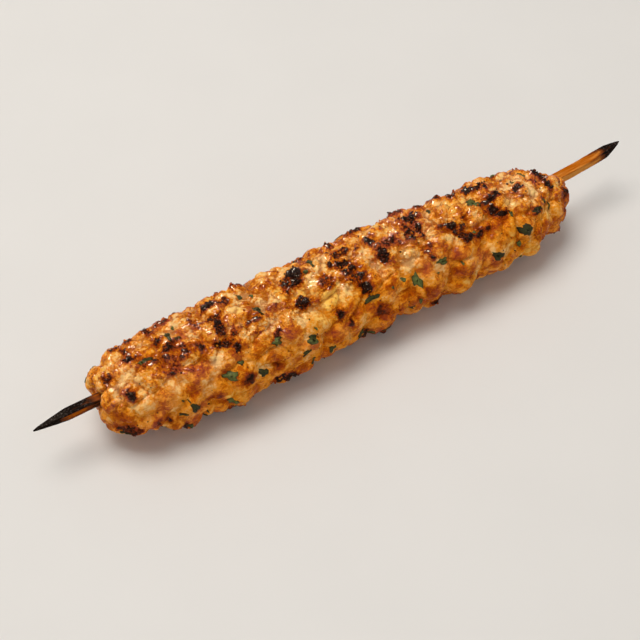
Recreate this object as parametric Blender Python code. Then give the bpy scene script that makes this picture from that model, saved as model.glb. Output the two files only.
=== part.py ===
"""A kofta skewer: spiced minced meat moulded by hand round a square bamboo stick, lying on its side.

The stick runs along X, +Z is up and the meat rests on Z = 0. Around the meat an angle is
counted from the crest (+Z) towards the front (-Y). All lengths are in metres.
"""
import math

import bmesh
import bpy
import numpy as np
from mathutils import Vector

MM = 0.001

# How far everything is moved to the front, which centres the model on Y = 0.
FORWARD_SHIFT = 0.48 * MM

# The stick: square bamboo, a little thicker towards its far end, which is warped up and back.
STICK_LENGTH = 300 * MM
NEAR_SIDE = 3.9 * MM
FAR_SIDE = 4.35 * MM
STICK_BACK = 2.6 * MM
STICK_HEIGHT = 24.3 * MM
STICK_EDGE = 0.35 * MM
WARP_START = 88 * MM
WARP_BACK = 2.5 * MM
WARP_UP = 1.8 * MM
# Its near end is a long point cut from above, and its far end a short one cut from below.
NEAR_POINT_LENGTH = 15 * MM
FAR_POINT_LENGTH = 8.5 * MM
POINT_BLUNTNESS = 0.12
NEAR_POINT_DROP = 0.35
FAR_POINT_RISE = 0.55
POINT_FULLNESS = 0.8
STICK_RINGS = 25

# The meat: a log whose blunt near end (-X) is thicker than its narrower far end (+X).
MEAT_NEAR_END = -124.3 * MM
MEAT_FAR_END = 113.4 * MM
MEAT_WIDTH = 44.5 * MM
MEAT_HEIGHT = 42.1 * MM
MEAT_SAG = 0.7 * MM
NEAR_CAP = 44 * MM
FAR_CAP = 59.8 * MM
NEAR_CAP_POWER = 2.52
FAR_CAP_POWER = 2.3
# Its girth along X, as a share of the full width and height, and how far its middle strays to the front.
GIRTH_PLACES = [x * MM for x in (-125, -90, -56, -24, 10, 40, 75, 100)]
GIRTHS = (0.98, 1.006, 1.06, 1.016, 0.99, 0.985, 0.963, 0.94)
STRAY_PLACES = [x * MM for x in (-125, -90, -60, -25, 5, 40, 65, 90, 116)]
STRAYS = [y * MM for y in (-0.4, -0.6, -0.45, -0.15, -1.9, 0.1, 0.3, 0.5, 0.6)]
# Its near end is cut at a slant, so that it stands out most at the back of the crest. Round the stick it
# is hollow, from the hollow's floor out to its rim.
NEAR_SLANT = 3.7 * MM
NEAR_SLANT_ANGLE = math.radians(144)
NEAR_HOLLOW = 5.2 * MM
HOLLOW_FLOOR = 1.5 * MM
HOLLOW_RIM = 11.5 * MM

# Finger grooves pressed across the meat. Each leans towards +X, most at the back of the crest.
GROOVES = [x * MM for x in (-132.7, -95.7, -76.9, -48.2, -23.8, -1.6, 21.8, 41.3, 58.5, 78.2, 98.8, 117)]
GROOVE_DEPTH = 2.9 * MM
GROOVE_LEAN = 4 * MM
GROOVE_LEAN_ANGLE = math.radians(-55)
CREST_GROOVE_SHARE = 0.3
# On the crest a groove has only that share of its depth, out to the first angle, and all from the second.
CREST_EDGE = 0.6
FLANK_EDGE = 1.4
# A low power gives broad lobes with narrow pinches between them. Their middle height is left unmoved.
LOBE_POWER = 0.7
LOBE_MIDDLE = 0.75

# Lumps of coarse mince, about a thumbnail across.
LUMP_SIZE = 11 * MM
LUMP_HEIGHT = 2.25 * MM
LUMP_MIDDLE = 0.6
LUMP_SEED = 193
SWELL_SIZE = 30 * MM
SWELL_HEIGHT = 1.42 * MM
SWELL_SEED = 3

MEAT_RINGS = 78
MEAT_SIDES = 50
BORE_GAP = 0.3 * MM


def clear_scene():
    """Remove what is in the scene."""
    for thing in list(bpy.data.objects):
        bpy.data.objects.remove(thing)


def material(name, colour, roughness):
    """A Principled material of one colour."""
    made = bpy.data.materials.new(name)
    made.use_nodes = True
    shader = made.node_tree.nodes["Principled BSDF"]
    shader.inputs["Base Color"].default_value = (*colour, 1.0)
    shader.inputs["Roughness"].default_value = roughness
    shader.inputs["Metallic"].default_value = 0.0
    return made


def smooth(value, low, high):
    """0 below low, 1 above high, and a smooth rise between them."""
    share = np.clip((value - low) / (high - low), 0.0, 1.0)
    return share * share * (3.0 - 2.0 * share)


def chance(cell, seed):
    """A fixed pseudo-random number from 0 to 1 for each whole-numbered cell (N x 3)."""
    mixed = cell[..., 0] * 374761393 + cell[..., 1] * 668265263
    mixed = (mixed + cell[..., 2] * 2147483647 + seed * 97_911_721) & 0xFFFFFFFF
    mixed = ((mixed ^ (mixed >> 13)) * 1274126177) & 0xFFFFFFFF
    mixed = ((mixed ^ (mixed >> 16)) * 2246822519) & 0xFFFFFFFF
    return (mixed ^ (mixed >> 15)) / 0xFFFFFFFF


def soft_noise(points, size, seed):
    """Smooth noise from -1 to 1: random values on a grid of that size, blended between its corners."""
    scaled = points / size
    cell = np.floor(scaled).astype(np.int64)
    part = scaled - cell
    part = part * part * (3.0 - 2.0 * part)
    total = np.zeros(points.shape[:-1])
    for corner in np.ndindex(2, 2, 2):
        step = np.array(corner)
        weight = np.prod(np.where(step == 1, part, 1.0 - part), axis=-1)
        total += weight * chance(cell + step, seed)
    return total * 2.0 - 1.0


def lumps(points, size, seed):
    """Rounded lumps, 1 at each lump's middle and 0 where two meet: one lump for each cell of that size."""
    scaled = points / size
    home = np.floor(scaled).astype(np.int64)
    nearest = np.full(points.shape[:-1], 9.0)
    second = nearest.copy()
    for step in np.ndindex(3, 3, 3):
        cell = home + np.array(step) - 1
        middle = np.stack([chance(cell, seed + axis) for axis in range(3)], axis=-1)
        distance = np.linalg.norm(cell + middle - scaled, axis=-1)
        second = np.minimum(second, np.maximum(nearest, distance))
        nearest = np.minimum(nearest, distance)
    rise = np.clip(1.0 - nearest / np.maximum(second, 1e-6), 0.0, 1.0)
    return 1.0 - (1.0 - rise) ** 2


def meat_profile(along):
    """The meat's outline: X and its share of the full radius, for along from 0 to 3.

    0 to 1 is the near cap, 1 to 2 the body and 2 to 3 the far cap. Each cap is a quarter of a
    superellipse, whose power sets how blunt it is.
    """
    near_turn = np.clip(along, 0.0, 1.0) * math.pi / 2
    far_turn = np.clip(3.0 - along, 0.0, 1.0) * math.pi / 2
    near_x = NEAR_CAP * (1.0 - np.cos(near_turn) ** (2.0 / NEAR_CAP_POWER))
    far_x = FAR_CAP * (1.0 - np.cos(far_turn) ** (2.0 / FAR_CAP_POWER))
    body = (MEAT_FAR_END - FAR_CAP) - (MEAT_NEAR_END + NEAR_CAP)
    x = MEAT_NEAR_END + near_x + body * np.clip(along - 1.0, 0.0, 1.0) + (FAR_CAP - far_x)
    radius = np.sin(near_turn) ** (2.0 / NEAR_CAP_POWER) * np.sin(far_turn) ** (2.0 / FAR_CAP_POWER)
    return x, radius


def meat_core(along, angle):
    """The smooth log: an oval section whose girth and middle vary a little along X.

    Its near end is cut at a slant and hollowed round the stick.
    """
    x, radius = meat_profile(along)
    slant = NEAR_SLANT * smooth(1.0 - along, 0.0, 0.8) * radius * np.cos(angle - NEAR_SLANT_ANGLE)
    radius = radius * np.interp(x, GIRTH_PLACES, GIRTHS)
    y = -np.interp(x, STRAY_PLACES, STRAYS) - MEAT_WIDTH / 2 * radius * np.sin(angle)
    z = MEAT_HEIGHT / 2 - MEAT_SAG + MEAT_HEIGHT / 2 * radius * np.cos(angle)
    off_stick = np.hypot(y - STICK_BACK, z - STICK_HEIGHT)
    hollow = NEAR_HOLLOW * (1.0 - smooth(off_stick, HOLLOW_FLOOR, HOLLOW_RIM)) * (along < 1.0)
    return np.stack([x + slant + hollow, y, z], axis=-1)


def meat_normals(along, angle):
    """The log's outward directions, from two small steps across its surface."""
    step = 1e-4
    low, high = np.maximum(along - step, 1e-3), np.minimum(along + step, 3.0 - 1e-3)
    lengthwise = meat_core(high, angle) - meat_core(low, angle)
    around = meat_core(along, angle + step) - meat_core(along, angle - step)
    across = np.cross(around, lengthwise)
    return across / np.maximum(np.linalg.norm(across, axis=-1, keepdims=True), 1e-12)


def groove_relief(points, angle):
    """How far the finger grooves stand in: round lobes that meet in a narrow pinch at each groove."""
    turn = np.abs((angle + math.pi) % (2.0 * math.pi) - math.pi)
    place = points[..., 0] - GROOVE_LEAN * np.cos(angle - GROOVE_LEAN_ANGLE)
    number = np.interp(place, GROOVES, np.arange(len(GROOVES)))
    lobe = np.abs(np.sin(math.pi * number)) ** LOBE_POWER
    share = CREST_GROOVE_SHARE + (1.0 - CREST_GROOVE_SHARE) * smooth(turn, CREST_EDGE, FLANK_EDGE)
    return GROOVE_DEPTH * share * (lobe - LOBE_MIDDLE)


def meat_points(along, angle):
    """The meat's surface: the log, moved out and in by swells, lumps and grooves, flat where it rests."""
    core = meat_core(along, angle)
    relief = groove_relief(core, angle)
    relief = relief + SWELL_HEIGHT * soft_noise(core, SWELL_SIZE, SWELL_SEED)
    relief = relief + LUMP_HEIGHT * (lumps(core, LUMP_SIZE, LUMP_SEED) - LUMP_MIDDLE)
    points = core + meat_normals(along, angle) * relief[..., None]
    points[..., 1] -= FORWARD_SHIFT
    points[..., 2] = np.maximum(points[..., 2], 0.0)
    return points


def even_stations(count):
    """Values of along whose points lie evenly spaced on the meat's outline, without its two tips."""
    along = np.linspace(0.0, 3.0, 3001)
    x, radius = meat_profile(along)
    steps = np.hypot(np.diff(x), np.diff(radius) * MEAT_WIDTH / 2)
    reached = np.concatenate([[0.0], np.cumsum(steps)])
    return np.interp(np.linspace(0.0, reached[-1], count + 2)[1:-1], reached, along)


def build_meat(finish):
    """Rings of points from one end of the meat to the other, joined by quads and closed at both ends."""
    stations = even_stations(MEAT_RINGS)
    turns = np.arange(MEAT_SIDES) * 2.0 * math.pi / MEAT_SIDES
    along, angle = np.meshgrid(stations, turns, indexing="ij")
    grid = meat_points(along, angle)
    shape = bmesh.new()
    rings = [[shape.verts.new(Vector(point)) for point in ring] for ring in grid]
    for ring, following in zip(rings, rings[1:]):
        for side in range(MEAT_SIDES):
            beside = (side + 1) % MEAT_SIDES
            shape.faces.new((ring[side], following[side], following[beside], ring[beside]))
    for ring in (rings[0], rings[-1]):
        centre = sum((vertex.co for vertex in ring), Vector()) / MEAT_SIDES
        tip = shape.verts.new(centre)
        for side in range(MEAT_SIDES):
            shape.faces.new((ring[side], ring[(side + 1) % MEAT_SIDES], tip))
    bmesh.ops.recalc_face_normals(shape, faces=shape.faces)
    return new_object("meat", shape, finish)


def stick_half(x):
    """Half the stick's side at x, before it is pointed."""
    return np.interp(x, [-STICK_LENGTH / 2, STICK_LENGTH / 2], [NEAR_SIDE / 2, FAR_SIDE / 2])


def stick_share(x):
    """The stick's thickness as a share of its full side: 1 along it, narrowing to each point."""
    near = (x + STICK_LENGTH / 2) / NEAR_POINT_LENGTH
    far = (STICK_LENGTH / 2 - x) / FAR_POINT_LENGTH
    rise = np.clip(np.minimum(near, far), 0.0, 1.0) ** POINT_FULLNESS
    return POINT_BLUNTNESS + (1.0 - POINT_BLUNTNESS) * rise


def stick_centre(x):
    """The stick's centre line: straight, then curving up and back. Its near tip is low, its far one high."""
    bend = np.clip((x - WARP_START) / (STICK_LENGTH / 2 - WARP_START), 0.0, None) ** 2
    tilt = np.where(x < 0, -NEAR_POINT_DROP, FAR_POINT_RISE) * stick_half(x) * (1.0 - stick_share(x))
    y = STICK_BACK + WARP_BACK * bend - FORWARD_SHIFT
    return np.stack([x + 0.0 * y, y, STICK_HEIGHT + WARP_UP * bend + tilt], axis=-1)


def square_bar(name, stations, half_sides, edge, finish):
    """A bar along the stick's centre line, with four flat faces and narrow cut corners."""
    shape = bmesh.new()
    rings = []
    for x, half in zip(stations, half_sides):
        inner = half - min(edge, half * 0.5)
        corners = [(half, inner), (inner, half), (-inner, half), (-half, inner)]
        corners += [(-half, -inner), (-inner, -half), (inner, -half), (half, -inner)]
        middle = Vector(stick_centre(x))
        rings.append([shape.verts.new(middle + Vector((0.0, y, z))) for y, z in corners])
    for ring, following in zip(rings, rings[1:]):
        for side in range(8):
            beside = (side + 1) % 8
            shape.faces.new((ring[side], ring[beside], following[beside], following[side]))
    shape.faces.new(rings[0])
    shape.faces.new(rings[-1])
    bmesh.ops.recalc_face_normals(shape, faces=shape.faces)
    return new_object(name, shape, finish)


def build_stick(finish):
    """The bamboo stick, with closer rings where it narrows and where it bends."""
    half = STICK_LENGTH / 2
    near = np.linspace(-half, NEAR_POINT_LENGTH - half, 6)
    straight = np.linspace(NEAR_POINT_LENGTH - half, WARP_START, 5)[1:]
    warped = np.linspace(WARP_START, half - FAR_POINT_LENGTH, 10)[1:]
    far = np.linspace(half - FAR_POINT_LENGTH, half, 6)[1:]
    stations = np.concatenate([near, straight, warped, far])
    halves = stick_half(stations) * stick_share(stations)
    return square_bar("skewer", stations, halves, STICK_EDGE, finish)


def build_bore_cutter():
    """The stick's own path through the meat, wider by the gap on each side."""
    stations = np.linspace(-STICK_LENGTH / 2, STICK_LENGTH / 2, STICK_RINGS)
    halves = stick_half(stations) + BORE_GAP
    cutter = square_bar("bore_cutter", stations, halves, STICK_EDGE, None)
    cutter.hide_render = True
    cutter.display_type = "WIRE"
    return cutter


def new_object(name, shape, finish):
    """An object made from a bmesh, linked to the scene, with its finish."""
    mesh = bpy.data.meshes.new(name)
    shape.to_mesh(mesh)
    shape.free()
    made = bpy.data.objects.new(name, mesh)
    bpy.context.scene.collection.objects.link(made)
    if finish:
        mesh.materials.append(finish)
    return made


def cut_bore(meat, cutter):
    """Cut the stick's path through the meat."""
    cut = meat.modifiers.new("bore", "BOOLEAN")
    cut.operation = "DIFFERENCE"
    cut.solver = "EXACT"
    cut.object = cutter


def main():
    clear_scene()
    roasted_meat = material("roasted_meat", (0.56, 0.26, 0.07), 0.5)
    bamboo = material("toasted_bamboo", (0.36, 0.15, 0.03), 0.55)
    meat = build_meat(roasted_meat)
    build_stick(bamboo)
    cut_bore(meat, build_bore_cutter())
    meat.data.shade_smooth()


main()
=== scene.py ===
"""The looks of a kofta skewer: grilled minced chicken with herbs on a square bamboo stick.

The file is laid out as an add-on. Its property groups hold the sizes and colours, each operator makes
one piece or group of like pieces, and main() calls the operators in order. Every surface is worked out
with numpy on a grid of two parameters. Around the meat an angle is counted from the crest (+Z) towards
the front (-Y). All lengths are in metres.
"""
import math

import bpy
import numpy as np
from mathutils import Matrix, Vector


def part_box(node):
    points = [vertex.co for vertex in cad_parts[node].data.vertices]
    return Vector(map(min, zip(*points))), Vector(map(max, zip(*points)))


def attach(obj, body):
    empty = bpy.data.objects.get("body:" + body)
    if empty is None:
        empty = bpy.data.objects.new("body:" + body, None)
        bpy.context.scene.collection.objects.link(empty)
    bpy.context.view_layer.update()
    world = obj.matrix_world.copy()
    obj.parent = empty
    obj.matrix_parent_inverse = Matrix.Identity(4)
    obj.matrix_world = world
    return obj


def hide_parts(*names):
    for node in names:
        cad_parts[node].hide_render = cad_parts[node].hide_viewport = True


bl_info = {
    "name": "Kofta Skewer",
    "version": (1, 0, 0),
    "blender": (4, 5, 0),
    "location": "3D View > Sidebar > Kofta",
    "description": "Makes a grilled kofta on a bamboo stick, with its char, crumbs and herbs",
    "category": "Add Mesh",
}

MM = 0.001
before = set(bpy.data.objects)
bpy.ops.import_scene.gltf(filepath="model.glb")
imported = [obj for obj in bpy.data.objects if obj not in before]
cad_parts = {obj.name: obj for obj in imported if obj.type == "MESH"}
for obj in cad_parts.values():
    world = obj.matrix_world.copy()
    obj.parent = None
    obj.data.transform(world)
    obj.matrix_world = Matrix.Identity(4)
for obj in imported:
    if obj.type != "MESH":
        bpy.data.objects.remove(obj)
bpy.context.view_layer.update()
STICK_LOW, STICK_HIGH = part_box("skewer")

# The values below are those of the solids.
# How far everything is moved to the front, which centres the model on Y = 0.
FORWARD_SHIFT = 0.48 * MM

# The stick: square bamboo, a little thicker towards its far end, which is warped up and back.
STICK_LENGTH = STICK_HIGH.x - STICK_LOW.x
NEAR_SIDE = 3.9 * MM
FAR_SIDE = 4.35 * MM
STICK_BACK = 2.6 * MM
STICK_HEIGHT = 24.3 * MM
WARP_START = 88 * MM
WARP_BACK = 2.5 * MM
WARP_UP = 1.8 * MM
# Its near end is a long point cut from above, and its far end a short one cut from below.
NEAR_POINT_LENGTH = 15 * MM
FAR_POINT_LENGTH = 8.5 * MM
POINT_BLUNTNESS = 0.12
POINT_FULLNESS = 0.8
NEAR_POINT_DROP = 0.35
FAR_POINT_RISE = 0.55
# In this file alone, its corners are rounded by this share of its half side, and its grain stands proud.
CORNER_SHARE = 0.16
STICK_GRAIN_HEIGHT = 0.06 * MM
# How burnt it is on its front and on its top, at places along X in mm, from each point to the meat.
NEAR_FRONT_BURN = ((-150, -139.5, -135, -128, -123), (1.0, 0.85, 0.22, 0.25, 0.7))
NEAR_TOP_BURN = ((-150, -134, -127, -124, -122), (1.0, 0.90, 0.75, 0.60, 0.35))
FAR_FRONT_BURN = ((112, 129, 136, 138.5, 141), (0.0, 0.05, 0.25, 0.45, 0.85))
FAR_TOP_BURN = ((112, 128, 134, 138, 140.5), (0.0, 0.06, 0.20, 0.45, 0.85))
# Where straw turns to amber towards the far end.
FAR_GLOW = (118 * MM, 136 * MM)

# The meat: a log whose blunt near end (-X) is thicker than its narrower far end (+X).
MEAT_NEAR_END = -124.3 * MM
MEAT_FAR_END = 113.4 * MM
MEAT_WIDTH = 44.5 * MM
MEAT_HEIGHT = 42.1 * MM
MEAT_SAG = 0.7 * MM
NEAR_CAP = 44 * MM
FAR_CAP = 59.8 * MM
NEAR_CAP_POWER = 2.52
FAR_CAP_POWER = 2.3
# Its girth along X, as a share of the full width and height, and how far its middle strays to the front.
GIRTH_PLACES = [x * MM for x in (-125, -90, -56, -24, 10, 40, 75, 100)]
GIRTHS = (0.98, 1.006, 1.06, 1.016, 0.99, 0.985, 0.963, 0.94)
STRAY_PLACES = [x * MM for x in (-125, -90, -60, -25, 5, 40, 65, 90, 116)]
STRAYS = [y * MM for y in (-0.4, -0.6, -0.45, -0.15, -1.9, 0.1, 0.3, 0.5, 0.6)]
# Its near end is cut at a slant, so that it stands out most at the back of the crest. Round the stick it
# is hollow, from the hollow's floor out to its rim.
NEAR_SLANT = 3.7 * MM
NEAR_SLANT_ANGLE = math.radians(144)
NEAR_HOLLOW = 5.2 * MM
HOLLOW_FLOOR = 1.5 * MM
HOLLOW_RIM = 11.5 * MM

# Finger grooves pressed across the meat. Each leans towards +X, most at the back of the crest.
GROOVES = [x * MM for x in (-132.7, -95.7, -76.9, -48.2, -23.8, -1.6, 21.8, 41.3, 58.5, 78.2, 98.8, 117)]
GROOVE_DEPTH = 2.9 * MM
GROOVE_LEAN = 4 * MM
GROOVE_LEAN_ANGLE = math.radians(-55)
LOBE_POWER = 0.7
LOBE_MIDDLE = 0.75
# They fade to this share of their depth on the crest, between these angles off it, in radians.
CREST_GROOVE_SHARE = 0.3
CREST_EDGE = 0.6
FLANK_EDGE = 1.4

# Lumps of coarse mince, about a thumbnail across.
LUMP_SIZE = 11 * MM
LUMP_HEIGHT = 2.25 * MM
LUMP_MIDDLE = 0.6
LUMP_SEED = 193
SWELL_SIZE = 30 * MM
SWELL_HEIGHT = 1.42 * MM
SWELL_SEED = 3

MEAN_RADIUS = (MEAT_WIDTH + MEAT_HEIGHT) / 4

# The values from here on are the looks' own.
# The finer forms of the mince: their size, how far and how widely they are stirred, and their seed.
DOMES = (7.5 * MM, 2.4 * MM, 7 * MM, 47)
GRANULES = (3.4 * MM, 1.4 * MM, 4 * MM, 43)
GRAINS = (1.7 * MM, 0.6 * MM, 1.6 * MM, 53)
SHREDS = (1.4 * MM, 1.5 * MM, 4 * MM, 73)
DOUGH = (6.5 * MM, 2 * MM, 5 * MM, 77)
# How high each stands, in mm: everywhere, more by this on the crest, and more by this where seared.
DOME_HEIGHTS = (0.0, 1.75, 0.0)
GRANULE_HEIGHTS = (0.15, 0.30, 1.00)
GRAIN_HEIGHTS = (0.03, 0.10, 0.25)
SHRED_HEIGHTS = (0.20, 0.0, -0.10)
DOUGH_HEIGHTS = (0.75, -0.35, 0.0)
SHRED_STRETCH = (0.5, 1.0, 1.0)
CRAG_HEIGHT = 0.55 * MM
# How far and how widely other patterns are stirred, and a seed: in waves, and then frayed at their edges.
GROOVE_WAVES = (1.6 * MM, 9 * MM, 33)
LUMP_WAVES = (1.3 * MM, 6 * MM, 37)
SPOT_WAVES = (1.5 * MM, 4 * MM, 61)
SPOT_FRAY = (0.9 * MM, 1.5 * MM, 65)
TONE_WAVES = (2.5 * MM, 6 * MM, 67)
TONE_FRAY = (1.2 * MM, 2.5 * MM, 69)
HONEY_WAVES = (2.4 * MM, 7 * MM, 45)
# Broad patches of sear, and of golden or pink crust: their size and seed.
SEAR_PATCH = (13 * MM, 31)
HONEY_PATCH = (9 * MM, 81)

# Where the fire reached: the angle it came from above, and the one where the meat lay on the grill.
FIRE_ANGLE = math.radians(-12)
GRILL_ANGLE = math.radians(195)
# The low front flank, whose crust is tinted more golden, and how wide that band is in radians.
GOLDEN_ANGLE = math.radians(103)
GOLDEN_WIDTH = 0.45

# Where the ridges caught the fire: X in mm, angle in degrees, half length along X and half height around
# in mm, and how deeply charred, from 0, browned, to 1, black.
CHAR_SPOTS = (
    (-116.5, -7, 2.6, 3.2, 0.7), (-104, -30, 1.5, 3.4, 0.85), (-99.5, -48, 1.6, 4, 0.75),
    (-106, -50, 1.8, 3.4, 0.8), (-90.5, -42, 1.5, 6, 0.8), (-104.5, -8, 2.5, 3, 0.8),
    (-91.5, -12, 2.4, 2, 0.8), (-91, 4, 2.6, 1.8, 0.9), (-84.5, 3, 1.8, 1, 0.8), (-102, 10, 3.2, 1.6, 0.65),
    (-95, 15, 3.4, 2, 0.6), (-82, 16, 3.8, 1.8, 0.6), (-79, 20, 2.2, 1.2, 0.6), (-89, 20, 3, 1.2, 0.5),
    (-92, 31, 3, 3.2, 0.62), (-86, 36, 1.6, 1.6, 0.45), (-111, 36, 1.3, 2.7, 0.9), (-112, 28, 2.5, 1.2, 0.5),
    (-74.5, -6, 2, 1.8, 0.65), (-65, -20, 4.2, 2.6, 0.95), (-58, -17, 3, 1.2, 0.65),
    (-68, -3, 2.6, 1.4, 0.85), (-63, -2, 1.2, 1.2, 0.6), (-67, 12, 2.8, 2.8, 1), (-69, 28, 3.2, 2, 1),
    (-63.5, 38, 1.9, 1.8, 0.95), (-61.5, 21, 1.6, 1.2, 0.8), (-54, 20, 4.4, 1.2, 0.65),
    (-55, 31, 2.6, 1, 0.5), (-68, 40, 1.8, 1, 0.5), (-47.5, 45, 2.4, 1.6, 0.8), (-64, 77, 2.2, 2, 0.6),
    (-100.5, 99, 0.9, 2.4, 0.7), (-104, 90, 1, 1.8, 0.5), (-115, 108, 4.5, 5, 0.6), (-76.5, 88, 1, 2, 0.4),
    (-46, 112, 4.5, 4, 0.85), (-40, -15, 2, 1.8, 0.6), (-30, -4, 4.4, 3.4, 1), (-25.5, -12, 2.2, 2.4, 0.95),
    (-34, 6, 2.4, 1.6, 0.85), (-29.5, 24, 3.6, 2.2, 1), (-24.5, 29, 1.4, 2.2, 0.6), (-43, 18, 3.2, 1.6, 0.6),
    (-37, 22, 2.6, 1.4, 0.6), (-36, 15, 2, 1, 0.5), (-20.5, -8, 1.2, 1.2, 0.8), (-10.5, -1, 1.4, 1.8, 0.9),
    (-4.5, 3.5, 3.8, 1.9, 1), (-2.5, -13, 3.2, 2.5, 1), (3.5, -6, 1.2, 1, 0.8), (-15, 12, 4, 2.8, 0.5),
    (-16, 20, 3, 1.4, 0.6), (-9, 20, 2.6, 1.4, 0.6), (-4, 16, 2.4, 1.6, 0.8), (-3, 27, 2.8, 2.2, 0.95),
    (-1.5, 43, 2, 2.2, 1), (-3.5, 35, 1.4, 1.6, 0.8), (-17, 53, 2.2, 2.8, 0.85), (-12.5, 74, 1.6, 1.6, 0.7),
    (3.5, 80, 3.2, 4.5, 0.35), (10.8, -5.5, 2.6, 2.3, 0.95), (12.5, 18, 2.8, 4, 1), (19, 6, 4.6, 2.6, 0.6),
    (23, 10, 3, 1.4, 0.55), (28, 6.5, 2.1, 3.8, 0.92), (32.5, 8, 1.7, 3.8, 0.88), (30, -1, 3, 1.2, 0.6),
    (32.5, -16, 3.8, 3.2, 0.95), (37, -20, 2, 3.5, 0.75), (31, 30, 3.2, 1.6, 0.5), (32, 40, 0.8, 0.8, 0.9),
    (10.5, 86, 0.8, 1, 0.7), (42, 9, 2.8, 1.6, 0.55), (47.5, 14, 2.4, 2.2, 0.95), (49.5, 24, 3.4, 3, 1),
    (50.5, 36, 3.2, 2.4, 1), (57, 38, 2.4, 1.4, 0.95), (61.5, 36, 1.6, 1.4, 0.6), (53.5, 14, 2, 1, 0.6),
    (58, 29, 2, 1, 0.5), (57.5, -18, 2.1, 2.2, 1), (68, -24, 3.6, 4.2, 1), (73, -17, 1.6, 2, 0.85),
    (68.5, 7, 3.2, 1.6, 0.9), (74.5, 4, 2, 2.2, 0.9), (68, 21, 2.2, 1.6, 0.9), (71.5, 30, 2.2, 2.2, 1),
    (64, 16, 2, 1, 0.6), (84.5, 5, 2.9, 2.2, 1), (85, 21, 3, 1.2, 0.5), (96, -2, 2.4, 2.8, 0.55),
    (101, -12, 3.4, 4.4, 0.9), (101.5, 14, 2.5, 4.2, 1), (95, 30, 1, 1.6, 0.7), (87.5, 46, 2.4, 2.4, 0.85),
    (108, 43, 2.8, 4, 0.55), (106, 75, 3, 5, 0.45), (48.5, 84, 0.8, 2, 0.55), (84.5, 74, 1.2, 1.6, 0.5),
    (69, 90, 3, 2, 0.35), (-18, -48, 2, 3, 0.6), (-3, -36, 1.8, 3.2, 0.7), (27, -48, 2.5, 3.2, 0.7),
    (34, -45, 2.4, 4, 0.8), (52, -45, 2.2, 4.5, 0.7), (70, -50, 2, 3, 0.8), (104, -35, 2, 3, 0.7),
    (-67, -42, 1.5, 3.5, 0.6), (23, -35, 1.2, 2, 0.6), (-40, -50, 2, 3, 0.5), (-83, -40, 3, 2.4, 0.6),
    (-76, -46, 2.4, 3, 0.7), (-57, -44, 2.6, 3, 0.65), (-49, -38, 2.4, 2.2, 0.55), (-30, -40, 2.6, 2.4, 0.6),
    (-11, -44, 2.4, 2.6, 0.65), (9, -42, 2.6, 2.8, 0.7), (43, -40, 2.4, 3, 0.65), (61, -42, 2.6, 2.6, 0.65),
    (82, -42, 3, 3, 0.7), (93, -46, 2.4, 3, 0.65),
)

# Where the crust is paler, above 0, or more browned, below 0: X in mm, angle in degrees, half length and
# half height in mm, and how much. Some of the pale patches are painted highlights, where light makes the
# crest and its upper edge bright.
TONE_AND_HIGHLIGHT_PATCHES = (
    (-115, 12, 4, 3, 0.9), (-97, 68, 5, 10, 0.9), (-75, 40, 3, 4, 1), (-99, 30, 2.5, 3, 0.6),
    (-58, 8, 5, 2.5, 0.7), (-20, 2, 4, 4, 0.9), (-21, 33, 4, 3, 1), (6, 8, 3, 5, 0.9), (20, -10, 5, 2.5, 0.9),
    (27, 32, 3, 3, 0.9), (23, 42, 4, 2.5, 0.8), (-33, 44, 5, 3, 0.5), (40, 5, 4, 3, 0.8), (44, 32, 4, 3, 0.7),
    (92, 20, 3, 3, 0.8), (80, 24, 3.5, 3, 0.6), (60, 22, 3, 2, 0.6), (-8, 32, 4, 3, 0.5),
    (-79, -25, 4, 4, 0.6), (-58, -32, 5, 4, 0.5), (34, 52, 5, 5, 0.4), (58, 58, 8, 5, 0.35),
    (-76, 60, 5, 4, 0.3), (12, -24, 7, 3, 0.7), (75, -35, 3, 3, 0.9), (88, -14, 3, 4, 0.6),
    (-110, 55, 5, 5, 0.35), (-92, 10, 13, 8, -0.65), (-50, 72, 4, 4, -0.6), (-15, 14, 5, 4, -0.5),
    (19, 6, 5, 4, -0.5), (3, 82, 4, 6, -0.5), (46, 72, 5, 4, -0.45), (106, 60, 7, 12, -0.7),
    (-115, 105, 6, 6, -0.7), (-84, 46, 4, 3, -0.35), (-118, 60, 3, 10, -0.3), (99, 0, 6, 6, -0.4),
    (-64, 76, 4, 4, -0.5), (32, 8, 5, 5, -0.4), (68, 8, 7, 6, -0.3),
)

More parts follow.
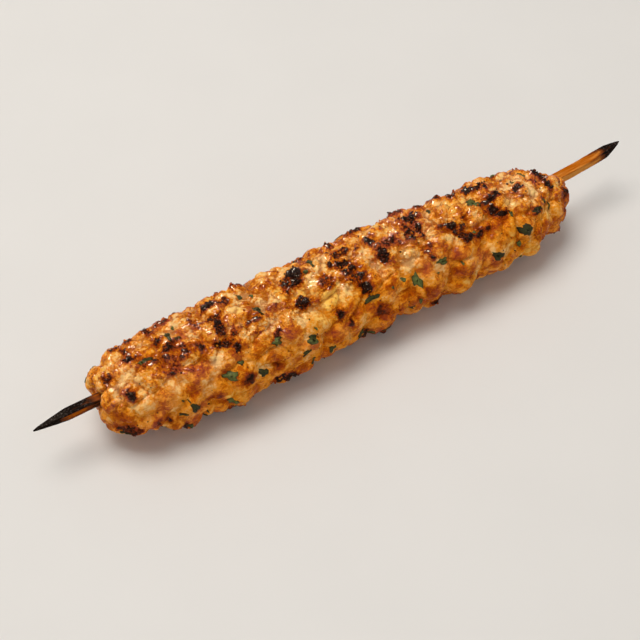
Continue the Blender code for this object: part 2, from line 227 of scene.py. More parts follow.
# Bits of parsley on the shown side: X in mm, angle in degrees, length and width in mm, and the turn in
# degrees, 0 for a bit that lies along the stick and 90 for one that runs round the meat.
HERB_BITS = (
    (-99, 5, 5, 2.8, 20), (-101.5, 4, 2.4, 1.4, 80), (-86.5, -8, 5, 2, 90), (-84, 1, 3, 1.4, 60),
    (-82.5, -19, 2, 1.2, 90), (-51, -18, 3.6, 1.6, 90), (-46.8, -11, 3, 1.6, 80), (-48.5, 10, 5, 2.4, 70),
    (-47.5, 50, 4.5, 3.6, 30), (-65, 55, 3.2, 1.6, 30), (-71, 64, 5.6, 4.2, 30), (-57, 78, 4.6, 3, 20),
    (-89, 84, 8.5, 3.2, 80), (-93, 69, 2, 0.8, 60), (-32.5, 66, 5, 3.4, 20), (-36.5, 78, 4.2, 2.4, 120),
    (-20.5, -10, 2, 1.6, 0), (-15.5, -22, 7, 2.2, 95), (0, 58.5, 7.5, 2.4, 0), (16.3, 53, 2.6, 1.6, 50),
    (22.3, 62, 8.5, 3.6, 85), (23, 97, 5, 1.6, 80), (36, 51, 6, 3, 15), (43, -15, 3, 1.4, 90),
    (62.5, 0, 7, 5, 90), (55, 35, 2.2, 1.4, 0), (76, 34, 2.8, 2, 90), (79.5, 63, 8, 4.2, 60),
    (76, 81, 3.6, 1.8, 100), (62.3, 76, 6.5, 4, 70), (88, 45, 4.8, 3.6, 20), (97, 50, 5, 0.9, 100),
    (94.5, 38, 3.5, 0.8, 80), (93, -22, 6, 2.6, 60), (82.5, -24, 2.5, 1.4, 60), (86, -10, 2.8, 1.2, 90),
    (32.5, 63, 1.2, 0.8, 0), (10, 56, 1.6, 1, 60), (-30, 55, 1.8, 0.8, 60), (44, 62, 1.6, 1, 80),
    (-94, 92, 4.2, 1.4, 15),
)
# The bits are cut larger than they show, because their rims are sunk in the meat.
HERB_LENGTH_SCALE = 1.1
HERB_WIDTH_SCALE = 1.2
# A bit's rings of points, from its top's middle round the rim to its underside's: how far out each lies,
# as a share of its size, and how high.
LEAF_SHARES = np.array([0.15, 0.45, 0.78, 1.0, 0.75, 0.15])
LEAF_HEIGHTS = np.array([0.46, 0.42, 0.26, -0.10, -0.45, -0.50]) * MM
LEAF_SIDES = 14
LEAF_CURL = 0.18 * MM
# How far its outline swells into three lobes and into five, and how ragged it is.
THREE_LOBES = 0.22
FIVE_LOBES = 0.16
LEAF_RAGGEDNESS = 0.14
# A little more than a full turn, in radians.
ANY_TURN = 6.3
# The bits spread by chance: their length in mm, their width as a share of it, and their turn in radians.
SCATTERED_LENGTH = (1.8, 6.5)
SCATTERED_WIDTH = (0.35, 0.8)
SCATTERED_TURN = (0, 3.2)
# They keep to this side of the meat, in radians, and none lies lower than this.
UNSEEN_ANGLE = 3.45
UNSEEN_REACH = -0.15
HERB_LOWEST = 0.05 * MM

# Char on the unseen sides: how many spots, and the spread of their X, angle, half sizes and strength.
HIDDEN_SPOTS = 46
HIDDEN_SPOT_SEED = 21
HIDDEN_X = (-112, 104)
HIDDEN_DEGREES = (112, 312)
HIDDEN_HALF_SIZE = (1.4, 4.2)
HIDDEN_STRENGTH = (0.45, 1.0)

# How high a loose grain or bit of herb lies at least, and how far from the meat's ends.
REST_CLEARANCE = 3 * MM
END_CLEARANCE = 4 * MM
TRIES_FOR_EACH = 40

# A loose grain is a ball of this many rings and sides. Most grains are fine, the more so for a high power.
GRAIN_RINGS = 4
GRAIN_SIDES = 6
GRAIN_ROUGHNESS = 0.30
GRAIN_SQUEEZE = (0.6, 1.2)
FINENESS_POWER = 2.2
# Its middle lies this much higher or lower than the others of its kind.
GRAIN_SCATTER = 0.15 * MM
# Char grains keep to the crest: the angle of its middle, and the least cosine of the angle off it.
CREST_ANGLE = 0.35
CREST_REACH = 0.72
# The kinds of loose grain: a seed, whether they are dark, how far out they lie in radii, and their scale.
LOOSE_KINDS = {
    "char_crumbs": (101, True, 0.35, 1.0),
    "crust_crumbs": (202, False, 0.2, 1.0),
    "pepper_specks": (303, True, 0.3, 0.7),
}
HERB_SEED = 404

# The rings of points round the meat crowd towards this angle, by this much.
CROWDED_ANGLE = math.radians(25)
CROWDING = 0.42

# How browned the crust is where each colour begins and where it has taken over.
BROWNING = {
    "gold": (-0.10, 0.26),
    "orange": (0.27, 0.46),
    "brown": (0.51, 0.66),
    "umber": (0.72, 0.84),
    "char": (0.92, 1.02),
}

# A Mix node's colour sockets, which share their names with those for numbers and vectors.
MIX_FACTOR, MIX_FIRST, MIX_SECOND, MIX_RESULT = 0, 6, 7, 2

CAMERA_AZIMUTH = math.radians(-32.07)
CAMERA_ELEVATION = math.radians(50.6)
CAMERA_DISTANCE = 0.7
CAMERA_LENS_MM = 92.374
CAMERA_AIM = Vector((-20.35, -7.5, 20.0)) * MM
FLOOR_REACH = 3.0
FLOOR_SHADE = 0.985
# Each lamp: its azimuth and height in degrees, its distance and size in metres, and its colour.
LAMPS = {
    "key": (-142, 75, 1.6, 0.95, (1.0, 0.97, 0.93)),
    "glint": (-150, 55, 1.6, 0.70, (1.0, 0.84, 0.60)),
    "fill": (-10, 35, 1.8, 1.2, (1.0, 0.98, 0.96)),
}
SKY_COLOUR = (1.0, 0.985, 0.965, 1.0)


# ---------------------------------------------------------------------------------------------
# Noise and shapes, as whole arrays


def smooth(value, low, high):
    """0 below low, 1 above high, and a smooth rise between them."""
    share = np.clip((value - low) / (high - low), 0.0, 1.0)
    return share * share * (3.0 - 2.0 * share)


def chance(cell, seed):
    """A fixed pseudo-random number from 0 to 1 for each whole-numbered cell (N x 3), by mixing its bits."""
    mixed = cell[..., 0] * 374761393 + cell[..., 1] * 668265263
    mixed = (mixed + cell[..., 2] * 2147483647 + seed * 97_911_721) & 0xFFFFFFFF
    mixed = ((mixed ^ (mixed >> 13)) * 1274126177) & 0xFFFFFFFF
    mixed = ((mixed ^ (mixed >> 16)) * 2246822519) & 0xFFFFFFFF
    return (mixed ^ (mixed >> 15)) / 0xFFFFFFFF


def soft_noise(points, size, seed):
    """Smooth noise from -1 to 1: random values on a grid of that size, blended between its corners."""
    scaled = points / size
    cell = np.floor(scaled).astype(np.int64)
    part = scaled - cell
    part = part * part * (3.0 - 2.0 * part)
    total = np.zeros(points.shape[:-1])
    for corner in np.ndindex(2, 2, 2):
        step = np.array(corner)
        weight = np.prod(np.where(step == 1, part, 1.0 - part), axis=-1)
        total += weight * chance(cell + step, seed)
    return total * 2.0 - 1.0


def lumps(points, size, seed):
    """Rounded lumps, 1 at each lump's middle and 0 where two meet: one lump for each cell of that size."""
    scaled = points / size
    home = np.floor(scaled).astype(np.int64)
    nearest = np.full(points.shape[:-1], 9.0)
    second = nearest.copy()
    for step in np.ndindex(3, 3, 3):
        cell = home + np.array(step) - 1
        middle = np.stack([chance(cell, seed + axis) for axis in range(3)], axis=-1)
        distance = np.linalg.norm(cell + middle - scaled, axis=-1)
        second = np.minimum(second, np.maximum(nearest, distance))
        nearest = np.minimum(nearest, distance)
    rise = np.clip(1.0 - nearest / np.maximum(second, 1e-6), 0.0, 1.0)
    return 1.0 - (1.0 - rise) ** 2


def stirred(points, reach, size, seed):
    """The points moved by noise of that reach, so that a pattern read from them loses its regularity."""
    moves = [soft_noise(points, size, seed + axis) for axis in range(3)]
    return points + reach * np.stack(moves, axis=-1)


def turned(angle):
    """The angle brought between -pi and pi."""
    return (angle + math.pi) % (2.0 * math.pi) - math.pi


def form(points, values, kind, stretch=1.0):
    """A finer form of the mince: lumps or noise of its size, read from stirred and stretched points.

    The stirring has the seed two below the form's own, and takes up three seeds' worth of noise.
    """
    size, reach, swirl, seed = values
    return kind(stirred(points, reach, swirl, seed - 2) * stretch, size, seed)


# ---------------------------------------------------------------------------------------------
# The meat's surface


def meat_profile(along):
    """The meat's outline: X and its share of the full radius, for along from 0 to 3.

    0 to 1 is the near cap, 1 to 2 the body and 2 to 3 the far cap. Each cap is a quarter of a
    superellipse, whose power sets how blunt it is.
    """
    near_turn = np.clip(along, 0.0, 1.0) * math.pi / 2
    far_turn = np.clip(3.0 - along, 0.0, 1.0) * math.pi / 2
    near_x = NEAR_CAP * (1.0 - np.cos(near_turn) ** (2.0 / NEAR_CAP_POWER))
    far_x = FAR_CAP * (1.0 - np.cos(far_turn) ** (2.0 / FAR_CAP_POWER))
    body = (MEAT_FAR_END - FAR_CAP) - (MEAT_NEAR_END + NEAR_CAP)
    x = MEAT_NEAR_END + near_x + body * np.clip(along - 1.0, 0.0, 1.0) + (FAR_CAP - far_x)
    radius = np.sin(near_turn) ** (2.0 / NEAR_CAP_POWER) * np.sin(far_turn) ** (2.0 / FAR_CAP_POWER)
    return x, radius


def along_at(x):
    """The value of along whose outline point lies at that X."""
    along = np.linspace(0.0, 3.0, 3001)
    return np.interp(x, meat_profile(along)[0], along)


def even_stations(count):
    """Values of along whose points lie evenly spaced on the meat's outline, without its two tips."""
    along = np.linspace(0.0, 3.0, 3001)
    x, radius = meat_profile(along)
    steps = np.hypot(np.diff(x), np.diff(radius) * MEAT_WIDTH / 2)
    reached = np.concatenate([[0.0], np.cumsum(steps)])
    return np.interp(np.linspace(0.0, reached[-1], count + 2)[1:-1], reached, along)


def meat_core(along, angle):
    """The smooth log: an oval section whose girth and middle vary a little along X.

    Its near end is cut at a slant and hollowed round the stick.
    """
    x, radius = meat_profile(along)
    slant = NEAR_SLANT * smooth(1.0 - along, 0.0, 0.8) * radius * np.cos(angle - NEAR_SLANT_ANGLE)
    radius = radius * np.interp(x, GIRTH_PLACES, GIRTHS)
    y = -np.interp(x, STRAY_PLACES, STRAYS) - MEAT_WIDTH / 2 * radius * np.sin(angle)
    z = MEAT_HEIGHT / 2 - MEAT_SAG + MEAT_HEIGHT / 2 * radius * np.cos(angle)
    off_stick = np.hypot(y - STICK_BACK, z - STICK_HEIGHT)
    hollow = NEAR_HOLLOW * (1.0 - smooth(off_stick, HOLLOW_FLOOR, HOLLOW_RIM)) * (along < 1.0)
    return np.stack([x + slant + hollow, y, z], axis=-1)


def meat_normals(along, angle):
    """The log's outward directions, from two small steps across its surface."""
    step = 1e-4
    low, high = np.maximum(along - step, 1e-3), np.minimum(along + step, 3.0 - 1e-3)
    lengthwise = meat_core(high, angle) - meat_core(low, angle)
    around = meat_core(along, angle + step) - meat_core(along, angle - step)
    across = np.cross(around, lengthwise)
    return across / np.maximum(np.linalg.norm(across, axis=-1, keepdims=True), 1e-12)


def groove_relief(points, angle):
    """How far the finger grooves stand in: round lobes that meet in a narrow pinch at each groove."""
    turn = np.abs(turned(angle))
    place = points[..., 0] - GROOVE_LEAN * np.cos(angle - GROOVE_LEAN_ANGLE)
    number = np.interp(place, GROOVES, np.arange(len(GROOVES)))
    lobe = np.abs(np.sin(math.pi * number)) ** LOBE_POWER
    share = CREST_GROOVE_SHARE + (1.0 - CREST_GROOVE_SHARE) * smooth(turn, CREST_EDGE, FLANK_EDGE)
    return GROOVE_DEPTH * share * (lobe - LOBE_MIDDLE), lobe


def spot_field(points, angle, spots):
    """How charred and how browned each point is, from 0 to 1, by how far it lies outside ragged ovals."""
    moved = stirred(stirred(points, *SPOT_WAVES), *SPOT_FRAY) - points
    x = points[..., 0] + moved[..., 0]
    char = np.zeros(x.shape)
    halo = np.zeros(x.shape)
    for spot_x, degrees, half_length, half_height, strength in spots:
        off_x = (x - spot_x * MM) / half_length
        off_turn = (turned(angle - math.radians(degrees)) * MEAN_RADIUS + moved[..., 1]) / half_height
        past_edge = np.hypot(off_x, off_turn) * math.sqrt(half_length * half_height)
        past_edge = past_edge - math.sqrt(half_length * half_height) * MM
        char = np.maximum(char, strength**1.6 * (1.0 - smooth(past_edge, -0.9 * MM, 0.9 * MM)))
        halo = np.maximum(halo, strength * (1.0 - smooth(past_edge, -0.6 * MM, 3.2 * MM)))
    return char, halo


def tone_and_highlight_field(points, angle):
    """How much paler, above 0, or more browned, below 0, each point is: soft ragged ovals added up."""
    # Some of the pale ovals are painted highlights.
    moved = stirred(stirred(points, *TONE_WAVES), *TONE_FRAY) - points
    field = np.zeros(points.shape[:-1])
    for patch_x, degrees, half_length, half_height, amount in TONE_AND_HIGHLIGHT_PATCHES:
        off_x = (points[..., 0] + moved[..., 0] - patch_x * MM) / (half_length * MM)
        off_turn = turned(angle - math.radians(degrees)) * MEAN_RADIUS + moved[..., 1]
        field = field + amount * (1.0 - smooth(np.hypot(off_x, off_turn / (half_height * MM)), 0.4, 1.4))
    return np.clip(field, -1.0, 1.0)


def hidden_spots():
    """More char for the back and the underside: random spots whose middles keep off the shown side."""
    draw = np.random.default_rng(HIDDEN_SPOT_SEED)
    x = draw.uniform(*HIDDEN_X, HIDDEN_SPOTS)
    degrees = draw.uniform(*HIDDEN_DEGREES, HIDDEN_SPOTS)
    half = draw.uniform(*HIDDEN_HALF_SIZE, (HIDDEN_SPOTS, 2))
    strength = draw.uniform(*HIDDEN_STRENGTH, HIDDEN_SPOTS)
    return tuple(zip(x, degrees, half[:, 0], half[:, 1], strength))


ALL_SPOTS = CHAR_SPOTS + hidden_spots()


def moulded(along, angle):
    """The solid's shape, its grooves and lumps in finer waves.

    It gives the log's points and outward directions, how far the relief stands out, and the lumps and
    groove lobes themselves.
    """
    core = meat_core(along, angle)
    normals = meat_normals(along, angle)
    grooves, lobe = groove_relief(stirred(core, *GROOVE_WAVES), angle)
    swell = soft_noise(core, SWELL_SIZE, SWELL_SEED)
    lump = lumps(stirred(core, *LUMP_WAVES), LUMP_SIZE, LUMP_SEED)
    relief = grooves + SWELL_HEIGHT * swell + LUMP_HEIGHT * (lump - LUMP_MIDDLE)
    return core, normals, relief, lump, lobe


def sear_masks(core, angle, lump):
    """The crest, the seared skin, the char and a broad patchiness.

    The crest is where the fire reached, above and a little below. Its skin is seared in patches and on
    lumps, and all round the char.
    """
    patch = soft_noise(core, *SEAR_PATCH)
    top = smooth(np.cos(angle - FIRE_ANGLE) + 0.14 * patch, 0.42, 0.82)
    under = 0.6 * smooth(np.cos(angle - GRILL_ANGLE) + 0.3 * patch, 0.55, 1.0)
    crest = np.maximum(top, under)
    char, halo = spot_field(core, angle, ALL_SPOTS)
    skin = 0.30 * crest * smooth(patch + 0.5 * lump, -0.2, 0.8)
    return crest, np.maximum(skin, halo), char, patch


def height(levels, crest, seared):
    """A height in metres from three in mm: everywhere, more on the crest, and more where seared."""
    plain, on_crest, on_seared = levels
    return (plain + on_crest * crest + on_seared * seared) * MM


def meat_surface(along, angle):
    """The dressed surface at each (along, angle): its points, outward directions and finish masks.

    The log is moved along its outward direction by the solid's swells, lumps and grooves, with the lumps
    softened off the crest. Domes of mince on the crest, uneven dough, granules, grains and shreds are
    added, the finer ones highest on the seared skin, which also stands proud as crags. The masks give the
    char, sear and crest; the paler and browner patches, some pale ones being painted highlights; the golden
    and pink ones; the heights that the fire browns; and painted shade in the hollows between lumps and in
    the grooves.
    """
    core, normals, relief, lump, lobe = moulded(along, angle)
    crest, seared, char, patch = sear_masks(core, angle, lump)
    dome = form(core, DOMES, lumps)
    granule = form(core, GRANULES, lumps)
    grain = form(core, GRAINS, lumps)
    shred = form(core, SHREDS, soft_noise, SHRED_STRETCH)
    dough = form(core, DOUGH, soft_noise)
    relief = relief + LUMP_HEIGHT * (1.0 - crest) * (smooth(lump, 0.0, 1.0) - lump)
    relief = relief + height(DOME_HEIGHTS, crest, seared) * (dome - 0.55)
    relief = relief + height(DOUGH_HEIGHTS, crest, seared) * dough
    relief = relief + height(GRANULE_HEIGHTS, crest, seared) * (granule - 0.55)
    relief = relief + height(GRAIN_HEIGHTS, crest, seared) * (grain - 0.5)
    relief = relief + height(SHRED_HEIGHTS, crest, seared) * shred
    relief = relief + CRAG_HEIGHT * seared**2 * (1.0 + granule)
    points = core + normals * relief[..., None]
    points[..., 1] -= FORWARD_SHIFT
    points[..., 2] = np.maximum(points[..., 2], 0.0)

    golden = 0.45 * smooth(np.abs(turned(angle - GOLDEN_ANGLE)), GOLDEN_WIDTH, 0.1)
    # Painted shade: the hollows where lumps and domes meet, and the pinches of the grooves, are marked to be
    # darkened.
    folds = np.clip(0.7 - 2.2 * lump, 0.0, 0.7) + np.clip(0.5 - 1.8 * dome, 0.0, 0.5)
    masks = {
        "char": char,
        "seared": seared,
        "crest": crest,
        # pale: paler and browner patches, some of the pale ones painted highlights.
        "pale": tone_and_highlight_field(core, angle) + 0.25 * patch,
        "honey": 1.5 * soft_noise(stirred(core, *HONEY_WAVES), *HONEY_PATCH) + golden,
        "rise": np.clip(0.35 * dome + 0.30 * granule + 0.25 * grain + 0.1 * lump, 0.0, 1.0),
        "crease_shade": folds + 0.4 * (1.0 - lobe) ** 3,
    }
    return points, normals, masks


def on_char(x, angle):
    """How likely a grain is there: on the char of the crest."""
    char, _ = spot_field(meat_core(along_at(x), angle), angle, ALL_SPOTS)
    return smooth(char, 0.45, 0.85) * (np.cos(angle - CREST_ANGLE) > CREST_REACH)


def on_crust(x, angle):
    """How likely a grain is there: on the seared crust, less on its char."""
    core = meat_core(along_at(x), angle)
    _, seared, char, _ = sear_masks(core, angle, lumps(core, LUMP_SIZE, LUMP_SEED))
    return seared**2 * (1.0 - smooth(char, 0.6, 0.9) * 0.6)


def anywhere(x, angle):
    """How likely a grain is there: alike all over."""
    return np.full(x.shape, 0.5)


def unseen_side(x, angle):
    """Whether a place is on the back, the underside or low on the front."""
    return np.cos(angle - UNSEEN_ANGLE) > UNSEEN_REACH


def place_at(x, angle, out):
    """Points on the dressed surface at those X and angles, raised outward by out."""
    points, normals, _ = meat_surface(along_at(x), angle)
    return points + normals * np.asarray(out)[..., None]


def scatter(count, seed, weight):
    """Random places on the meat, kept by chance where weight(x, angle) is high: their X and angle.

    None lies on the strip that the meat rests on.
    """
    draw = np.random.default_rng(seed)
    tries = count * TRIES_FOR_EACH
    x = draw.uniform(MEAT_NEAR_END + END_CLEARANCE, MEAT_FAR_END - END_CLEARANCE, tries)
    angle = draw.uniform(0.0, 2.0 * math.pi, tries)
    clear = meat_core(along_at(x), angle)[..., 2] > REST_CLEARANCE
    kept = clear & (draw.random(tries) < weight(x, angle))
    return x[kept][:count], angle[kept][:count]


# ---------------------------------------------------------------------------------------------
# Meshes from arrays


def new_piece(name, points, faces, finish, masks=None):
    """An object from an array of points and a list of faces, smooth, with masks as point attributes."""
    mesh = bpy.data.meshes.new(name)
    mesh.from_pydata(points.tolist(), [], faces)
    for mask_name, values in (masks or {}).items():
        layer = mesh.attributes.new(mask_name, "FLOAT", "POINT")
        layer.data.foreach_set("value", np.ascontiguousarray(values, dtype=np.float32))
    mesh.materials.append(finish)
    mesh.shade_smooth()
    made = bpy.data.objects.new(name, mesh)
    bpy.context.scene.collection.objects.link(made)
    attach(made, "root")
    return made


def ring_quads(rings, sides):
    """The quads that join rings of numbered points, ring by ring."""
    number = np.arange(rings * sides).reshape(rings, sides)
    beside = np.roll(number, -1, axis=1)
    return np.stack([number[:-1], number[1:], beside[1:], beside[:-1]], axis=-1).reshape(-1, 4)


def closed_grid(grid, masks):
    """Points, faces and masks of rings (rings x sides x 3) joined by quads, with a fan on each end."""
    rings, sides = grid.shape[:2]
    total = rings * sides
    corner = np.arange(sides)
    beside = np.roll(corner, -1)
    quads = ring_quads(rings, sides)
    tips = np.stack([grid[0].mean(axis=0), grid[-1].mean(axis=0)])
    first = np.stack([np.full(sides, total), corner, beside], axis=-1)
    last = np.stack([np.full(sides, total + 1), total - sides + beside, total - sides + corner], axis=-1)
    points = np.concatenate([grid.reshape(-1, 3), tips])
    ends = {name: [values[0].mean(), values[-1].mean()] for name, values in masks.items()}
    flat = {name: np.concatenate([values.ravel(), ends[name]]) for name, values in masks.items()}
    return points, quads.tolist() + first.tolist() + last.tolist(), flat


def loose_grains(middles, sizes, seed):
    """Points, faces and grain numbers of small uneven grains at the middles, each 26 points, 48 triangles.

    Each starts as a ball of rings of points and two tips. It is squeezed by three random radii, its
    points are moved in and out by the roughness, and it is turned at random.
    """
    draw = np.random.default_rng(seed)
    count, on_rings = len(middles), GRAIN_RINGS * GRAIN_SIDES
    total = on_rings + 2
    level = np.repeat(np.cos(np.arange(1, GRAIN_RINGS + 1) * math.pi / (GRAIN_RINGS + 1)), GRAIN_SIDES)
    turn = np.tile(np.arange(GRAIN_SIDES) * 2.0 * math.pi / GRAIN_SIDES, GRAIN_RINGS)
    turn = turn + np.repeat(np.arange(GRAIN_RINGS) % 2 * 0.5, GRAIN_SIDES)
    wide = np.sqrt(1.0 - level**2)
    ball = np.stack([wide * np.cos(turn), wide * np.sin(turn), level], axis=-1)
    ball = np.concatenate([ball, [(0.0, 0.0, 1.0), (0.0, 0.0, -1.0)]])
    squeeze = draw.uniform(*GRAIN_SQUEEZE, (count, 1, 3))
    shaped = ball * squeeze * (1.0 + GRAIN_ROUGHNESS * draw.uniform(-1.0, 1.0, (count, total, 1)))
    spin = draw.normal(size=(count, 4))
    w, a, b, c = (spin / np.linalg.norm(spin, axis=1, keepdims=True)).T
    rows = [
        [1 - 2 * (b * b + c * c), 2 * (a * b - c * w), 2 * (a * c + b * w)],
        [2 * (a * b + c * w), 1 - 2 * (a * a + c * c), 2 * (b * c - a * w)],
        [2 * (a * c - b * w), 2 * (b * c + a * w), 1 - 2 * (a * a + b * b)],
    ]
    turns = np.array(rows).transpose(2, 0, 1)
    points = middles[:, None] + sizes[:, None, None] * np.einsum("kij,kpj->kpi", turns, shaped)
    corner = np.arange(GRAIN_SIDES)
    beside = np.roll(corner, -1)
    last = on_rings - GRAIN_SIDES
    caps = np.concatenate([
        np.stack([np.full(GRAIN_SIDES, on_rings), corner, beside], axis=-1),
        np.stack([np.full(GRAIN_SIDES, on_rings + 1), last + beside, last + corner], axis=-1),
    ])
    first = np.arange(count)[:, None, None] * total
    faces = (ring_quads(GRAIN_RINGS, GRAIN_SIDES) + first).reshape(-1, 4).tolist()
    faces = faces + (caps + first).reshape(-1, 3).tolist()
    return points.reshape(-1, 3), faces, np.repeat(np.arange(count), total)


def leaves(x, angle, lengths, widths, turns, seed):
    """Points, faces, rims and tones of chopped leaf bits that lie on the meat, each closed and thin.

    A bit's outline is an oval with a few lobes. Its rings of points are set out on the tangent plane,
    wrapped round the meat, raised in the middle and sunk at the rim.
    """
    draw = np.random.default_rng(seed)
    count, rings, sides = len(x), len(LEAF_SHARES), LEAF_SIDES
    turn = np.arange(sides) * 2.0 * math.pi / sides
    lobes = 1.0 + THREE_LOBES * np.cos(3 * turn + draw.uniform(0, ANY_TURN, (count, 1)))
    lobes = lobes + FIVE_LOBES * np.cos(5 * turn + draw.uniform(0, ANY_TURN, (count, 1)))
    lobes = lobes + draw.uniform(-LEAF_RAGGEDNESS, LEAF_RAGGEDNESS, (count, sides))
    flat_u = (lengths[:, None] / 2 * lobes * np.cos(turn))[:, None] * LEAF_SHARES[:, None]
    flat_v = (widths[:, None] / 2 * lobes * np.sin(turn))[:, None] * LEAF_SHARES[:, None]
    cosine, sine = np.cos(turns)[:, None, None], np.sin(turns)[:, None, None]
    at_x = x[:, None, None] + flat_u * cosine - flat_v * sine
    at_angle = angle[:, None, None] + (flat_u * sine + flat_v * cosine) / MEAN_RADIUS
    curl = LEAF_CURL * np.cos(2 * turn + draw.uniform(0, ANY_TURN, (count, 1)))[:, None]
    curl = curl * LEAF_SHARES[:, None]
    points = place_at(at_x, at_angle, LEAF_HEIGHTS[:, None] + curl)
    number = np.arange(rings * sides).reshape(rings, sides)
    first = np.arange(count)[:, None, None] * rings * sides
    ends = np.stack([number[0, ::-1], number[-1]])
    faces = (ring_quads(rings, sides) + first).reshape(-1, 4).tolist()
    faces = faces + (ends + first).reshape(-1, sides).tolist()
    rim = np.broadcast_to(LEAF_SHARES[:, None], (count, rings, sides)).ravel()
    return points.reshape(-1, 3), faces, rim, np.repeat(draw.random(count), rings * sides)


# ---------------------------------------------------------------------------------------------
# Shader maths


class Value:
    """A socket that varies over a surface. Arithmetic on it adds Math nodes."""

    def __init__(self, finish, socket):
        self.finish = finish
        self.socket = socket

    def maths(self, operation, first, second):
        """A Math node on two numbers or Values."""
        return self.finish.node("ShaderNodeMath", {"operation": operation}, {0: first, 1: second})

    def __add__(self, other):
        return self.maths("ADD", self, other)

    def __radd__(self, other):
        return self.maths("ADD", other, self)

    def __sub__(self, other):
        return self.maths("SUBTRACT", self, other)

    def __rsub__(self, other):
        return self.maths("SUBTRACT", other, self)

    def __mul__(self, other):
        return self.maths("MULTIPLY", self, other)

    def __rmul__(self, other):
        return self.maths("MULTIPLY", other, self)

    def between(self, low, high):
        """0 below low, 1 above high, and a smooth rise between them."""
        settings = {"interpolation_type": "SMOOTHSTEP"}
        sockets = {"Value": self, "From Min": low, "From Max": high}
        return self.finish.node("ShaderNodeMapRange", settings, sockets)

    def swing(self, low, high):
        """-0.5 below low, 0.5 above high, and a smooth rise between them."""
        return self.between(low, high) - 0.5


class Finish:
    """A material being made: its nodes, added by node(), and its Principled shader."""

    def __init__(self, name, fixed):
        self.material = bpy.data.materials.new(name)
        self.material.use_nodes = True
        self.tree = self.material.node_tree
        self.shader = self.tree.nodes["Principled BSDF"]
        self.feed(self.shader, fixed)

    def feed(self, node, sockets):
        """Link each Value to its socket, and set the others to their plain number, colour or vector."""
        for name, value in sockets.items():
            if isinstance(value, Value):
                self.tree.links.new(value.socket, node.inputs[name])
            else:
                node.inputs[name].default_value = value

    def node(self, kind, settings=None, sockets=None, output=0):
        """One node of that kind: its settings first, then its sockets' values or links, as a Value."""
        made = self.tree.nodes.new(kind)
        for name, value in (settings or {}).items():
            setattr(made, name, value)
        self.feed(made, sockets or {})
        return Value(self, made.outputs[output])

    def mask(self, name):
        """A number stored on the piece's points."""
        return self.node("ShaderNodeAttribute", {"attribute_name": name}, output="Fac")

    def place(self, stretch=(1.0, 1.0, 1.0)):
        """Object coordinates, in metres, stretched along each axis."""
        where = self.node("ShaderNodeTexCoord", output="Object")
        return self.node("ShaderNodeMapping", {}, {"Vector": where, "Scale": stretch})

    def noise(self, size, detail=3.0, rough=0.5, stretch=(1.0, 1.0, 1.0), twist=0.0):
        """Noise from 0 to 1 with features of that size in metres."""
        sockets = {"Vector": self.place(stretch), "Scale": 1.0 / size, "Detail": detail}
        sockets.update({"Roughness": rough, "Distortion": twist})
        return self.node("ShaderNodeTexNoise", {}, sockets, output="Fac")

    def cells(self, size, stretch=(1.0, 1.0, 1.0)):
        """The distance to the middle of the nearest cell of that size, from 0."""
        sockets = {"Vector": self.place(stretch), "Scale": 1.0 / size}
        return self.node("ShaderNodeTexVoronoi", {}, sockets, output="Distance")

    def mix(self, factor, first, second, blend="MIX"):
        """The first colour turning into the second, or its blend with it, as the factor goes to 1."""
        sockets = {MIX_FACTOR: factor, MIX_FIRST: first, MIX_SECOND: second}
        settings = {"data_type": "RGBA", "blend_type": blend}
        return self.node("ShaderNodeMix", settings, sockets, output=MIX_RESULT)

    def surface(self, colour, roughness, height, depth):
        """The finished material: its colour and roughness, and a bump of that height and depth in metres."""
        bump = self.node("ShaderNodeBump", {}, {"Height": height, "Distance": depth, "Strength": 1.0})
        self.feed(self.shader, {"Base Color": colour, "Roughness": roughness, "Normal": bump})
        return self.material


